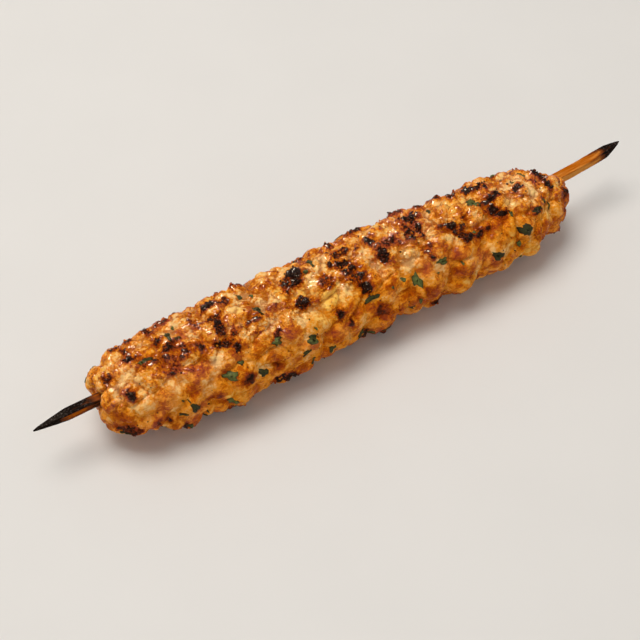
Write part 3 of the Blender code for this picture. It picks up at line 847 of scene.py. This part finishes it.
def crust_finish(look):
    """Grilled mince: cream, gold, orange, red-brown, umber and black, as it browns.

    How browned it is adds up from the sear, the height on lumps and granules, noise from broad to fine,
    the char and the paler patches, some of which are painted highlights. Painted shade darkens the hollows
    between lumps and the grooves, most on the crest, and all but the umber and black take a golden or a
    pink tint. The wet parts have a coat, and the grain of the mince is in the bump.
    """
    finish = Finish("grilled_kofta", {
        "Subsurface Weight": 0.10,
        "Subsurface Radius": (1.0, 0.38, 0.15),
        "Subsurface Scale": 0.0025,
        "Specular IOR Level": 0.05,
        "Specular Tint": (1.0, 0.6, 0.3, 1.0),
        "Coat IOR": 1.6,
        "Coat Roughness": 0.14,
    })
    char, seared, crest = finish.mask("char"), finish.mask("seared"), finish.mask("crest")
    pale, rise, crease_shade = finish.mask("pale"), finish.mask("rise"), finish.mask("crease_shade")
    honey = finish.mask("honey")

    broad = finish.noise(8 * MM, 2.0, 0.5).swing(0.30, 0.70)
    medium = finish.noise(2.8 * MM, 3.0, 0.6, twist=0.8).swing(0.30, 0.70)
    fine = finish.noise(1.3 * MM, 3.0, 0.7).swing(0.36, 0.64)
    shreds = finish.noise(1.3 * MM, 3.0, 0.65, stretch=(0.45, 1.0, 1.0), twist=1.5).swing(0.3, 0.7)
    browned = 0.32 - crest * 0.08 + seared * 0.38 + (rise - 0.55) * (crest * 0.50 + seared * 0.70 - 0.05)
    browned = browned + broad * 0.50 + medium * 0.24 + fine * (0.13 + crest * 0.08 + seared * 0.20)
    browned = browned + shreds * (0.15 + crest * 0.08)
    # Pale patches, some of them painted highlights, lift the crust towards cream.
    browned = browned + char * 0.66 - pale * 0.28

    colour = finish.mix(browned.between(*BROWNING["gold"]), look.cream, look.gold)
    colour = finish.mix(browned.between(*BROWNING["orange"]), colour, look.orange)
    # Painted shade: the hollows between lumps and the grooves are darkened, more on the crest.
    sunk = (crease_shade + medium * 0.6).between(0.10, 0.75)
    colour = finish.mix(sunk * (0.25 + crest * 0.45), colour, look.crevice_shade)
    colour = finish.mix(browned.between(*BROWNING["brown"]), colour, look.brown)
    colour = finish.mix(honey.between(0.0, 1.0) * 0.75, colour, look.honey, "MULTIPLY")
    colour = finish.mix((honey * -1.0).between(0.0, 1.0), colour, look.rosy, "ADD")
    colour = finish.mix(browned.between(*BROWNING["umber"]), colour, look.umber)
    colour = finish.mix(browned.between(*BROWNING["char"]), colour, look.char)

    wet = finish.noise(3.2 * MM, 2.0, 0.5).between(0.30, 0.52)
    glaze = (0.01 + wet * 0.70 * rise.between(0.35, 0.70)) * (0.25 + crest * 0.75) * (1.0 - char * 0.3)
    finish.feed(finish.shader, {"Coat Weight": glaze})
    pits = finish.cells(0.9 * MM).between(0.0, 0.7)
    height = fine * (0.10 + seared * 0.20) + pits * (0.05 + seared * 0.35) + shreds * 0.30
    return finish.surface(colour, 0.46 - wet * 0.24, height, 0.7 * MM)


def crumb_finish(name, look, dark):
    """Loose grains of crust: red-brown to golden, or nearly black when dark."""
    finish = Finish(name, {"Specular IOR Level": 0.05, "Coat Roughness": 0.15, "Coat Weight": 0.15})
    tone = finish.mask("tone")
    speckle = finish.noise(0.5 * MM, 2.0, 0.6)
    if dark:
        colour = finish.mix((tone * 0.6 + speckle * 0.6).between(0.55, 0.95), look.char, look.umber)
    else:
        colour = finish.mix((tone * 0.8 + speckle * 0.4).between(0.3, 0.8), look.brown, look.orange)
        colour = finish.mix((tone + speckle * 0.3).between(0.85, 1.2), colour, look.gold)
    return finish.surface(colour, 0.30 + speckle * 0.3, speckle, 0.25 * MM)


def herb_finish(look):
    """Cooked parsley: dark green with paler bits, blotches and veins, browned at the rim."""
    finish = Finish("parsley", {"Specular IOR Level": 0.05, "Coat Weight": 0.08, "Coat Roughness": 0.2})
    tone, rim = finish.mask("tone"), finish.mask("rim")
    veins = finish.noise(0.7 * MM, 3.0, 0.6, stretch=(0.4, 1.0, 1.0))
    blotch = finish.noise(1.7 * MM, 3.0, 0.6)
    colour = finish.mix((tone * 0.6 + blotch * 0.9).between(0.45, 1.0), look.deep, look.leaf)
    colour = finish.mix((tone * 0.4 + veins * 0.6 + blotch).between(0.95, 1.25), colour, look.pale)
    colour = finish.mix((rim + blotch * 0.7).between(0.95, 1.35) * 0.8, colour, look.wilted)
    return finish.surface(colour, 0.38 + veins * 0.25, veins, 0.4 * MM)


def bamboo_finish(look):
    """Bamboo toasted by the grill: straw to amber by the meat, then brown, and black at its points."""
    finish = Finish("toasted_bamboo", {"Specular IOR Level": 0.0, "Coat Roughness": 0.2})
    burn, above, glow = finish.mask("burn"), finish.mask("above"), finish.mask("glow")
    grain = finish.noise(0.7 * MM, 3.0, 0.6, stretch=(0.06, 1.0, 1.0)).swing(0.32, 0.68)
    mottle = finish.noise(2.0 * MM, 3.0, 0.6, stretch=(0.5, 1.0, 1.0)).swing(0.28, 0.72)
    burnt = burn + grain * 0.26 + mottle * 0.16 + finish.mask("edge") * 0.24
    raw = finish.mix((glow + grain * 0.3).between(0.2, 0.9), look.straw, look.amber)
    raw = finish.mix((above * 0.7 + grain * 0.4).between(0.2, 0.9), raw, look.amber)
    colour = finish.mix(burnt.between(0.15, 0.50), raw, look.toast)
    colour = finish.mix(burnt.between(0.50, 0.78), colour, look.scorch)
    flecks = finish.noise(0.9 * MM, 3.0, 0.7).between(0.54, 0.66) * burnt.between(0.5, 0.8)
    colour = finish.mix(flecks * 0.40, colour, look.ash)
    finish.feed(finish.shader, {"Coat Weight": (1.0 - burn) * 0.08 + flecks * 0.02})
    return finish.surface(colour, 0.52 + grain * 0.3, grain + mottle * 0.4, 0.22 * MM)


def swatch(name, description, red, green, blue):
    """A colour that a user can change."""
    return bpy.props.FloatVectorProperty(
        name=name, description=description, subtype="COLOR", size=4,
        default=(red, green, blue, 1.0), min=0.0, max=1.0)


class KoftaMeatLook(bpy.types.PropertyGroup):
    """Sizes and colours of the meat."""

    rings: bpy.props.IntProperty(
        name="Rings", description="Rings of points along the meat", default=500, min=40)
    sides: bpy.props.IntProperty(
        name="Sides", description="Points around the meat", default=196, min=24)
    cream: swatch("Cream", "Mince that has hardly browned", 1.00, 0.62, 0.23)
    gold: swatch("Gold", "Lightly grilled crust", 0.87, 0.305, 0.018)
    orange: swatch("Orange", "Spiced crust in the creases", 0.55, 0.120, 0.002)
    # Honey: a golden tint in random patches, and more along the low front flank.
    honey: swatch("Honey", "Tint that the crust takes where fat turned it golden", 1.0, 0.90, 0.30)
    rosy: swatch("Rosy", "Colour added where the mince stayed pink", 0.008, 0.003, 0.018)
    # Painted shade: the dark colour laid into the hollows between lumps and into the grooves.
    crevice_shade: swatch("Crevice", "Spiced juice between the lumps", 0.33, 0.062, 0.003)
    brown: swatch("Brown", "Well seared crust", 0.33, 0.048, 0.005)
    umber: swatch("Umber", "Crust about to char", 0.11, 0.018, 0.004)
    char: swatch("Char", "Burnt tips", 0.022, 0.007, 0.004)


class KoftaCrumbLook(bpy.types.PropertyGroup):
    """How many loose grains there are and how large they are."""

    char_count: bpy.props.IntProperty(
        name="Char grains", description="Black grains on the char", default=700, min=0)
    crust_count: bpy.props.IntProperty(
        name="Crust grains", description="Brown grains on the crust", default=420, min=0)
    pepper_count: bpy.props.IntProperty(
        name="Pepper", description="Specks of black pepper", default=260, min=0)
    smallest: bpy.props.FloatProperty(
        name="Smallest", description="Radius of the finest grain",
        default=0.30 * MM, min=0.0, unit="LENGTH")
    largest: bpy.props.FloatProperty(
        name="Largest", description="Radius of the coarsest grain",
        default=0.70 * MM, min=0.0, unit="LENGTH")


class KoftaHerbLook(bpy.types.PropertyGroup):
    """The chopped parsley."""

    scattered: bpy.props.IntProperty(
        name="Scattered bits", description="Bits spread by chance", default=90, min=0)
    deep: swatch("Deep green", "Cooked leaf in shade", 0.038, 0.036, 0.011)
    leaf: swatch("Leaf green", "Cooked leaf", 0.085, 0.090, 0.024)
    pale: swatch("Pale green", "Stems and backs of leaves", 0.13, 0.155, 0.04)
    wilted: swatch("Wilted", "Browned rim of a leaf", 0.035, 0.022, 0.008)


class KoftaStickLook(bpy.types.PropertyGroup):
    """The toasted bamboo stick."""

    rings: bpy.props.IntProperty(
        name="Rings", description="Rings of points along the stick", default=420, min=20)
    straw: swatch("Straw", "Bamboo warmed by the grill", 0.74, 0.30, 0.055)
    amber: swatch("Amber", "Oiled bamboo", 0.47, 0.105, 0.001)
    toast: swatch("Toast", "Browned bamboo", 0.17, 0.042, 0.010)
    scorch: swatch("Scorch", "Burnt bamboo", 0.010, 0.0062, 0.0045)
    ash: swatch("Ash", "Grey flecks on burnt bamboo", 0.16, 0.12, 0.11)


class KoftaStageLook(bpy.types.PropertyGroup):
    """The floor and the light."""

    floor: swatch("Floor", "Colour of the pale floor", 0.72, 0.70, 0.672)
    key_power: bpy.props.FloatProperty(
        name="Key light", description="Power of the large light at the back",
        default=19.6, min=0.0, unit="POWER")
    fill_power: bpy.props.FloatProperty(
        name="Fill light", description="Power of the light by the camera",
        default=1.8, min=0.0, unit="POWER")
    glint_power: bpy.props.FloatProperty(
        name="Glint light", description="Power of the small lamp that makes wet meat glint",
        default=72.0, min=0.0, unit="POWER")
    sky: bpy.props.FloatProperty(
        name="Sky", description="Strength of the even light from all around", default=0.38, min=0.0)


class KOFTA_OT_meat(bpy.types.Operator):
    """Make the grilled meat, which stands for the CAD solid"""

    bl_idname = "kofta.meat"
    bl_label = "Kofta Meat"

    def execute(self, context):
        look = context.scene.kofta_meat
        turns = np.arange(look.sides) * 2.0 * math.pi / look.sides
        turns = turns - CROWDING * np.sin(turns - CROWDED_ANGLE)
        along, angle = np.meshgrid(even_stations(look.rings), turns, indexing="ij")
        grid, _, masks = meat_surface(along, angle)
        points, faces, flat = closed_grid(grid, masks)
        meat = new_piece("grilled_meat", points, faces, crust_finish(look), flat)
        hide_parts("meat")
        return {"FINISHED"}


class KOFTA_OT_crumbs(bpy.types.Operator):
    """Make the loose grains: black on the char, brown on the seared crest, and pepper all over"""

    bl_idname = "kofta.crumbs"
    bl_label = "Crumbs"

    def execute(self, context):
        look, meat = context.scene.kofta_crumbs, context.scene.kofta_meat
        counts = {
            "char_crumbs": (look.char_count, on_char),
            "crust_crumbs": (look.crust_count, on_crust),
            "pepper_specks": (look.pepper_count, anywhere),
        }
        for name, (seed, dark, out, scale) in LOOSE_KINDS.items():
            x, angle = scatter(counts[name][0], seed, counts[name][1])
            draw = np.random.default_rng(seed + 1)
            fineness = draw.random(len(x)) ** FINENESS_POWER
            sizes = look.smallest + (look.largest - look.smallest) * fineness
            middles = place_at(x, angle, out * sizes + draw.uniform(-GRAIN_SCATTER, GRAIN_SCATTER, len(x)))
            points, faces, owner = loose_grains(middles, sizes * scale, seed + 2)
            tone = draw.random(len(x))[owner]
            finish = crumb_finish(name, meat, dark)
            new_piece(name, points, faces, finish, {"tone": tone})
        return {"FINISHED"}


class KOFTA_OT_herbs(bpy.types.Operator):
    """Make the bits of chopped parsley"""

    bl_idname = "kofta.herbs"
    bl_label = "Parsley"

    def execute(self, context):
        look = context.scene.kofta_herbs
        chosen = np.array(HERB_BITS, dtype=float)
        x, angle = scatter(look.scattered, HERB_SEED, unseen_side)
        draw = np.random.default_rng(HERB_SEED + 1)
        count = len(x)
        long = draw.uniform(*SCATTERED_LENGTH, count)
        wide = long * draw.uniform(*SCATTERED_WIDTH, count)
        columns = (
            np.concatenate([chosen[:, 0] * MM, x]),
            np.concatenate([np.radians(chosen[:, 1]), angle]),
            np.concatenate([chosen[:, 2] * HERB_LENGTH_SCALE, long]) * MM,
            np.concatenate([chosen[:, 3] * HERB_WIDTH_SCALE, wide]) * MM,
            np.concatenate([np.radians(chosen[:, 4]), draw.uniform(*SCATTERED_TURN, count)]),
        )
        points, faces, rim, tone = leaves(*columns, HERB_SEED + 2)
        points[:, 2] = np.maximum(points[:, 2], HERB_LOWEST)
        masks = {"rim": rim, "tone": tone}
        new_piece("parsley_bits", points, faces, herb_finish(look), masks)
        return {"FINISHED"}


def stick_half(x):
    """Half the stick's side at x, before it is pointed."""
    return np.interp(x, [-STICK_LENGTH / 2, STICK_LENGTH / 2], [NEAR_SIDE / 2, FAR_SIDE / 2])


def stick_share(x):
    """The stick's thickness as a share of its full side: 1 along it, narrowing to each point."""
    near = (x + STICK_LENGTH / 2) / NEAR_POINT_LENGTH
    far = (STICK_LENGTH / 2 - x) / FAR_POINT_LENGTH
    rise = np.clip(np.minimum(near, far), 0.0, 1.0) ** POINT_FULLNESS
    return POINT_BLUNTNESS + (1.0 - POINT_BLUNTNESS) * rise


def stick_centre(x):
    """The stick's centre line: straight, then curving up and back, its near tip low and its far one high."""
    bend = np.clip((x - WARP_START) / (STICK_LENGTH / 2 - WARP_START), 0.0, None) ** 2
    tilt = np.where(x < 0, -NEAR_POINT_DROP, FAR_POINT_RISE) * stick_half(x) * (1.0 - stick_share(x))
    y = STICK_BACK + WARP_BACK * bend - FORWARD_SHIFT
    return np.stack([x + 0.0 * y, y, STICK_HEIGHT + WARP_UP * bend + tilt], axis=-1)


def stick_section():
    """The square's outline, from -1 to 1 across: four straight sides joined by rounded corners."""
    flat = 1.0 - CORNER_SHARE
    side = np.stack([np.linspace(-1.0, 1.0, 6) * flat, np.ones(6)], axis=-1)
    bend = np.radians([22.5, 45.0, 67.5])
    corner = flat + CORNER_SHARE * np.stack([np.sin(bend), np.cos(bend)], axis=-1)
    quarters = []
    for step in range(4):
        angle = -step * math.pi / 2
        turn = np.array([[math.cos(angle), math.sin(angle)], [-math.sin(angle), math.cos(angle)]])
        quarters.append(np.concatenate([side, corner]) @ turn)
    return np.concatenate(quarters)


def stick_grid(rings):
    """Rings of the dressed stick and its section: the section carried along the bar, with fine grain."""
    section = stick_section()
    x = np.linspace(-STICK_LENGTH / 2, STICK_LENGTH / 2, rings)
    half = (stick_half(x) * stick_share(x))[:, None]
    across = np.stack([np.zeros(len(section)), section[:, 0], section[:, 1]], axis=-1)
    grid = stick_centre(x)[:, None] + half[..., None] * across
    grain = soft_noise(grid * (0.06, 1.0, 1.0), 0.5 * MM, 81)
    grain = grain + 0.6 * soft_noise(grid * (0.25, 1.0, 1.0), 1.5 * MM, 83)
    return grid + across * grain[..., None] * STICK_GRAIN_HEIGHT, section


def burn_at(x, profile):
    """How burnt the stick is at x, between the places that a profile gives."""
    places, burns = profile
    return np.interp(x, np.array(places) * MM, burns)


class KOFTA_OT_stick(bpy.types.Operator):
    """Make the square bamboo stick, toasted by the meat and burnt at both points"""

    bl_idname = "kofta.stick"
    bl_label = "Bamboo Stick"

    def execute(self, context):
        look = context.scene.kofta_stick
        grid, section = stick_grid(look.rings)
        x = grid[..., 0]
        above = np.broadcast_to(smooth(section[:, 1], 0.5, 0.95), x.shape)
        low = np.broadcast_to(smooth(-section[:, 1], 0.7, 1.0), x.shape)
        near_front, far_front = burn_at(x, NEAR_FRONT_BURN), burn_at(x, FAR_FRONT_BURN)
        near = near_front + (burn_at(x, NEAR_TOP_BURN) - near_front) * above
        far = far_front + (burn_at(x, FAR_TOP_BURN) - far_front) * above
        # The lowest face is made a little darker all along the stick.
        burn = np.where(x < 0, near, far) + 0.25 * low
        glow = np.where(x < 0, 1.0, smooth(x, *FAR_GLOW) * 0.5)
        edge = smooth(np.abs(section).min(axis=1), 0.70, 0.95)
        front_top = (section[:, 0] < 0.0) & (section[:, 1] > 0.0)
        edge = edge * np.where(front_top & (x > 0.0), 0.3, 1.0)
        masks = {"burn": burn, "above": above, "glow": glow, "edge": edge}
        points, faces, flat = closed_grid(grid, masks)
        stick = new_piece("bamboo_stick", points, faces, bamboo_finish(look), flat)
        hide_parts("skewer")
        return {"FINISHED"}


class KOFTA_OT_stage(bpy.types.Operator):
    """Make the pale floor, the soft light and the camera"""

    bl_idname = "kofta.stage"
    bl_label = "Stage"

    def execute(self, context):
        scene = context.scene
        make_floor(scene.kofta_stage)
        make_lights(scene.kofta_stage)
        make_camera(scene)
        scene.view_settings.view_transform = "Standard"
        return {"FINISHED"}


def direction(azimuth, elevation):
    """The unit vector towards a place at that azimuth, 0 being in front (-Y), and that height."""
    level = math.cos(elevation)
    return Vector((math.sin(azimuth) * level, -math.cos(azimuth) * level, math.sin(elevation)))


def make_camera(scene):
    """The camera, looking down across the skewer from its near end."""
    data = bpy.data.cameras.new("camera")
    data.lens = CAMERA_LENS_MM
    data.sensor_width = 36.0
    data.clip_start, data.clip_end = 0.05, 20.0
    camera = bpy.data.objects.new("camera", data)
    scene.collection.objects.link(camera)
    back = direction(CAMERA_AZIMUTH, CAMERA_ELEVATION)
    camera.location = CAMERA_AIM + back * CAMERA_DISTANCE
    camera.rotation_euler = (-back).to_track_quat("-Z", "Y").to_euler()
    scene.camera = camera


def make_floor(look):
    """A wide pale floor with a faint mottle."""
    finish = Finish("pale_floor", {"Roughness": 1.0, "Specular IOR Level": 0.0})
    mottle = finish.noise(60 * MM, 3.0, 0.5).between(0.3, 0.7)
    shade = [channel * FLOOR_SHADE for channel in look.floor[:3]] + [1.0]
    finish.feed(finish.shader, {"Base Color": finish.mix(mottle, look.floor, shade)})
    mesh = bpy.data.meshes.new("floor")
    corners = [(x * FLOOR_REACH, y * FLOOR_REACH, 0.0) for x, y in ((-1, -1), (1, -1), (1, 1), (-1, 1))]
    mesh.from_pydata(corners, [], [(0, 1, 2, 3)])
    mesh.materials.append(finish.material)
    floor = bpy.data.objects.new("floor", mesh)
    bpy.context.scene.collection.objects.link(floor)


def add_lamp(name, power):
    """A square area light that faces the skewer, made and handed back."""
    azimuth, elevation, distance, size, tint = LAMPS[name]
    data = bpy.data.lights.new(name, "AREA")
    data.size = size
    data.energy = power
    data.color = tint
    lamp = bpy.data.objects.new(name, data)
    bpy.context.scene.collection.objects.link(lamp)
    towards = direction(math.radians(azimuth), math.radians(elevation))
    lamp.location = towards * distance
    lamp.rotation_euler = (-towards).to_track_quat("-Z", "Y").to_euler()
    return lamp


def make_lights(look):
    """A large soft light behind and to the left, a weak one in front, and even light all around.

    The glint lamp, which only shows in reflections, stands for the window that wet meat glints with.
    """
    add_lamp("key", look.key_power)
    add_lamp("glint", look.glint_power).visible_diffuse = False
    add_lamp("fill", look.fill_power)
    world = bpy.data.worlds.new("sky")
    world.use_nodes = True
    background = world.node_tree.nodes["Background"]
    background.inputs["Color"].default_value = SKY_COLOUR
    background.inputs["Strength"].default_value = look.sky
    bpy.context.scene.world = world


class KOFTA_PT_panel(bpy.types.Panel):
    """The buttons that make the kofta"""

    bl_idname = "KOFTA_PT_panel"
    bl_label = "Kofta Skewer"
    bl_space_type = "VIEW_3D"
    bl_region_type = "UI"
    bl_category = "Kofta"

    def draw(self, context):
        for operator in OPERATORS:
            self.layout.operator(operator.bl_idname)


LOOKS = {
    "kofta_meat": KoftaMeatLook,
    "kofta_crumbs": KoftaCrumbLook,
    "kofta_herbs": KoftaHerbLook,
    "kofta_stick": KoftaStickLook,
    "kofta_stage": KoftaStageLook,
}
OPERATORS = (KOFTA_OT_meat, KOFTA_OT_crumbs, KOFTA_OT_herbs, KOFTA_OT_stick, KOFTA_OT_stage)


def register():
    """Register the classes and hang the property groups on the scene."""
    for name, group in LOOKS.items():
        bpy.utils.register_class(group)
        setattr(bpy.types.Scene, name, bpy.props.PointerProperty(type=group))
    for kind in (*OPERATORS, KOFTA_PT_panel):
        bpy.utils.register_class(kind)


def unregister():
    """Undo register()."""
    for kind in (KOFTA_PT_panel, *reversed(OPERATORS)):
        bpy.utils.unregister_class(kind)
    for name, group in LOOKS.items():
        delattr(bpy.types.Scene, name)
        bpy.utils.unregister_class(group)


def main():
    """Make every piece in order."""
    register()
    bpy.ops.kofta.meat()
    bpy.ops.kofta.crumbs()
    bpy.ops.kofta.herbs()
    bpy.ops.kofta.stick()
    bpy.ops.kofta.stage()


if __name__ == "__main__":
    main()
